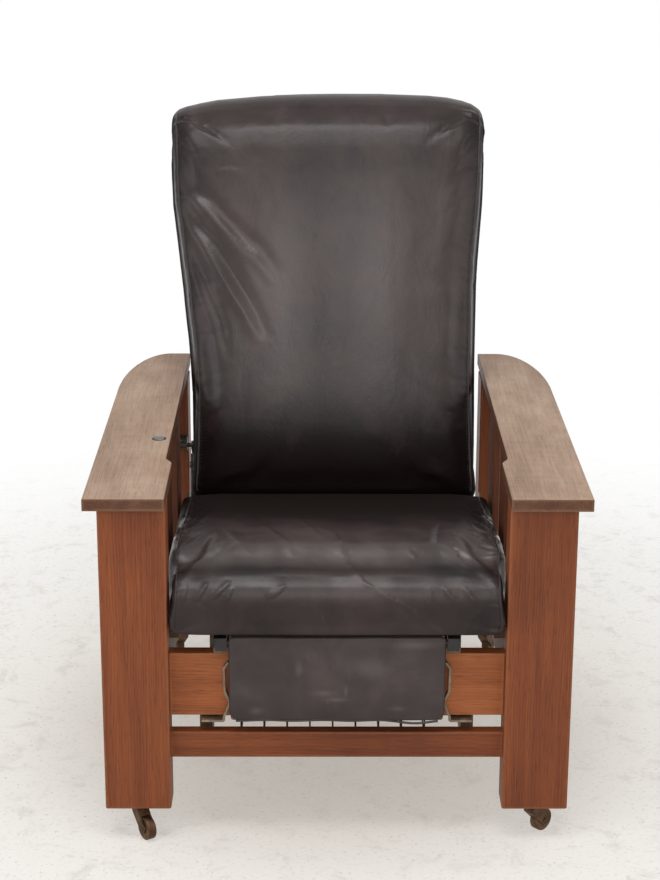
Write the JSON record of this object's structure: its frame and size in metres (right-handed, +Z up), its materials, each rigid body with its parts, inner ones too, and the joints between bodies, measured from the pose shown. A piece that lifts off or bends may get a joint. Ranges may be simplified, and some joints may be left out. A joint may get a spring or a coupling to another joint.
{
  "type": "reclining armchair",
  "caption": "Mission style oak armchair with leather cushions, a back that reclines on a push-button latch, a pull-out leg rest, a wire basket under the seat, and casters",
  "frame": {"origin": "centre of the bounding box at floor level", "axes": "+Z up, +Y to the rear, so the chair faces -Y, and +X to the right of someone looking at its front"},
  "size_m": [0.78, 0.9035, 1.0889],
  "materials": {
    "oak_frame": "worn satin varnish on red-brown oak",
    "oak_hidden": "plain stained oak",
    "leather": "worn dark brown leather, soft sheen",
    "webbing": "woven jute",
    "back_panel_board": "stained thin board",
    "black_steel": "black paint, rubbed",
    "bare_steel": "dull bare steel",
    "dark_bezel": "dark ring",
    "button_steel": "worn grey steel",
    "aged_bronze": "dull aged bronze"
  },
  "bodies": {
    "frame": {"arm_left": "oak_frame", "arm_right": "oak_frame", "front_leg_left": "oak_frame", "front_leg_right": "oak_frame", "rear_post_left": "oak_frame", "rear_post_right": "oak_frame", "front_rail": "oak_frame", "front_stretcher": "oak_frame", "rear_rail": "oak_frame", "side_rail_left": "oak_frame", "side_rail_right": "oak_frame", "side_slats": "oak_frame", "seat_cleats": "oak_hidden", "seat_frame_crosses": "oak_hidden", "seat_frame_sides": "oak_hidden", "seat_webbing": "webbing", "seat_cushion": "leather", "channel_blocks": "oak_hidden", "channel_cross_rail": "oak_hidden", "slide_channels": "black_steel", "basket_ends": "oak_hidden", "basket_front_hangers": "bare_steel", "basket_rear_hangers": "bare_steel", "basket_wires": "bare_steel", "button_bezel": "dark_bezel", "button_spring": "bare_steel", "crank_hanger": "bare_steel", "latch_bracket": "bare_steel", "caster_sockets": "aged_bronze", "pivot_pins": "bare_steel", "pivot_plates": "bare_steel"},
    "back": {"back_stile_left": "oak_hidden", "back_stile_right": "oak_hidden", "back_bottom_rail": "oak_hidden", "back_middle_rail": "oak_hidden", "back_top_rail": "oak_hidden", "back_panel": "back_panel_board", "back_cushion": "leather", "ratchet_quadrant": "bare_steel", "quadrant_bolt": "bare_steel", "pivot_spacers": "bare_steel"},
    "button": {"push_button": "button_steel"},
    "crank": {"bell_crank": "bare_steel"},
    "link": {"link_bar": "bare_steel"},
    "latch": {"latch_shaft": "bare_steel", "latch_pawl": "bare_steel"},
    "rest_slide": {"slide_bars": "black_steel", "slide_cross_strap": "black_steel", "leg_rest_pins": "bare_steel"},
    "rest": {"leg_rest_board": "oak_hidden", "leg_rest_pad": "leather"},
    "horn_front_left": {"caster_horn_front_left": "aged_bronze"},
    "wheel_front_left": {"caster_wheel_front_left": "aged_bronze"},
    "horn_front_right": {"caster_horn_front_right": "aged_bronze"},
    "wheel_front_right": {"caster_wheel_front_right": "aged_bronze"},
    "horn_rear_left": {"caster_horn_rear_left": "aged_bronze"},
    "wheel_rear_left": {"caster_wheel_rear_left": "aged_bronze"},
    "horn_rear_right": {"caster_horn_rear_right": "aged_bronze"},
    "wheel_rear_right": {"caster_wheel_rear_right": "aged_bronze"}
  },
  "joints": [
    {"name": "back_recline", "type": "hinge", "parent": "frame", "child": "back", "pos_m": [0, 0.21975, 0.345], "axis": [-1, 0, 0], "range_deg": [0, 32]},
    {"name": "button_press", "type": "slide", "parent": "frame", "child": "button", "axis": [0, 0, -1], "range_m": [0, 0.005], "stiffness_N_per_m": 800, "springref_m": -0.001, "deforming": ["button_spring"]},
    {"name": "crank_turn", "type": "hinge", "parent": "frame", "child": "crank", "pos_m": [-0.296, -0.08525, 0.479], "axis": [1, 0, 0], "range_deg": [0, 4.9]},
    {"name": "link_slide", "type": "slide", "parent": "frame", "child": "link", "axis": [0, -1, 0], "range_m": [0, 0.0053]},
    {"name": "latch_turn", "type": "hinge", "parent": "frame", "child": "latch", "pos_m": [-0.296, 0.25475, 0.45], "axis": [1, 0, 0], "range_deg": [0, 3.4]},
    {"name": "leg_rest_slide", "type": "slide", "parent": "frame", "child": "rest_slide", "axis": [0, -0.9962, 0.0872], "range_m": [0, 0.22]},
    {"name": "leg_rest_tilt", "type": "hinge", "parent": "rest_slide", "child": "rest", "pos_m": [0, -0.42025, 0.339], "axis": [-1, 0, 0], "range_deg": [0, 90]},
    {"name": "swivel_front_left", "type": "hinge", "parent": "frame", "child": "horn_front_left", "pos_m": [-0.3171, -0.40775, 0.0565], "axis": [0, 0, 1], "continuous": true},
    {"name": "wheel_spin_front_left", "type": "hinge", "parent": "horn_front_left", "child": "wheel_front_left", "pos_m": [-0.3048, -0.42599, 0.019], "axis": [-0.829, -0.5592, 0], "continuous": true},
    {"name": "swivel_front_right", "type": "hinge", "parent": "frame", "child": "horn_front_right", "pos_m": [0.3171, -0.40775, 0.0565], "axis": [0, 0, 1], "continuous": true},
    {"name": "wheel_spin_front_right", "type": "hinge", "parent": "horn_front_right", "child": "wheel_front_right", "pos_m": [0.33319, -0.39275, 0.019], "axis": [0.682, -0.7314, 0], "continuous": true},
    {"name": "swivel_rear_left", "type": "hinge", "parent": "frame", "child": "horn_rear_left", "pos_m": [-0.2955, 0.31275, 0.0565], "axis": [0, 0, 1], "continuous": true},
    {"name": "wheel_spin_rear_left", "type": "hinge", "parent": "horn_rear_left", "child": "wheel_rear_left", "pos_m": [-0.30583, 0.33217, 0.019], "axis": [0.8829, 0.4695, 0], "continuous": true},
    {"name": "swivel_rear_right", "type": "hinge", "parent": "frame", "child": "horn_rear_right", "pos_m": [0.2955, 0.31275, 0.0565], "axis": [0, 0, 1], "continuous": true},
    {"name": "wheel_spin_rear_right", "type": "hinge", "parent": "horn_rear_right", "child": "wheel_rear_right", "pos_m": [0.30583, 0.33217, 0.019], "axis": [0.8829, -0.4695, 0], "continuous": true}
  ],
  "couplings": [
    {"joint": "crank_turn", "follows": "button_press", "rad_per_m": 16.667},
    {"joint": "link_slide", "follows": "button_press", "ratio": 1.0333},
    {"joint": "latch_turn", "follows": "button_press", "rad_per_m": 11.355}
  ]
}
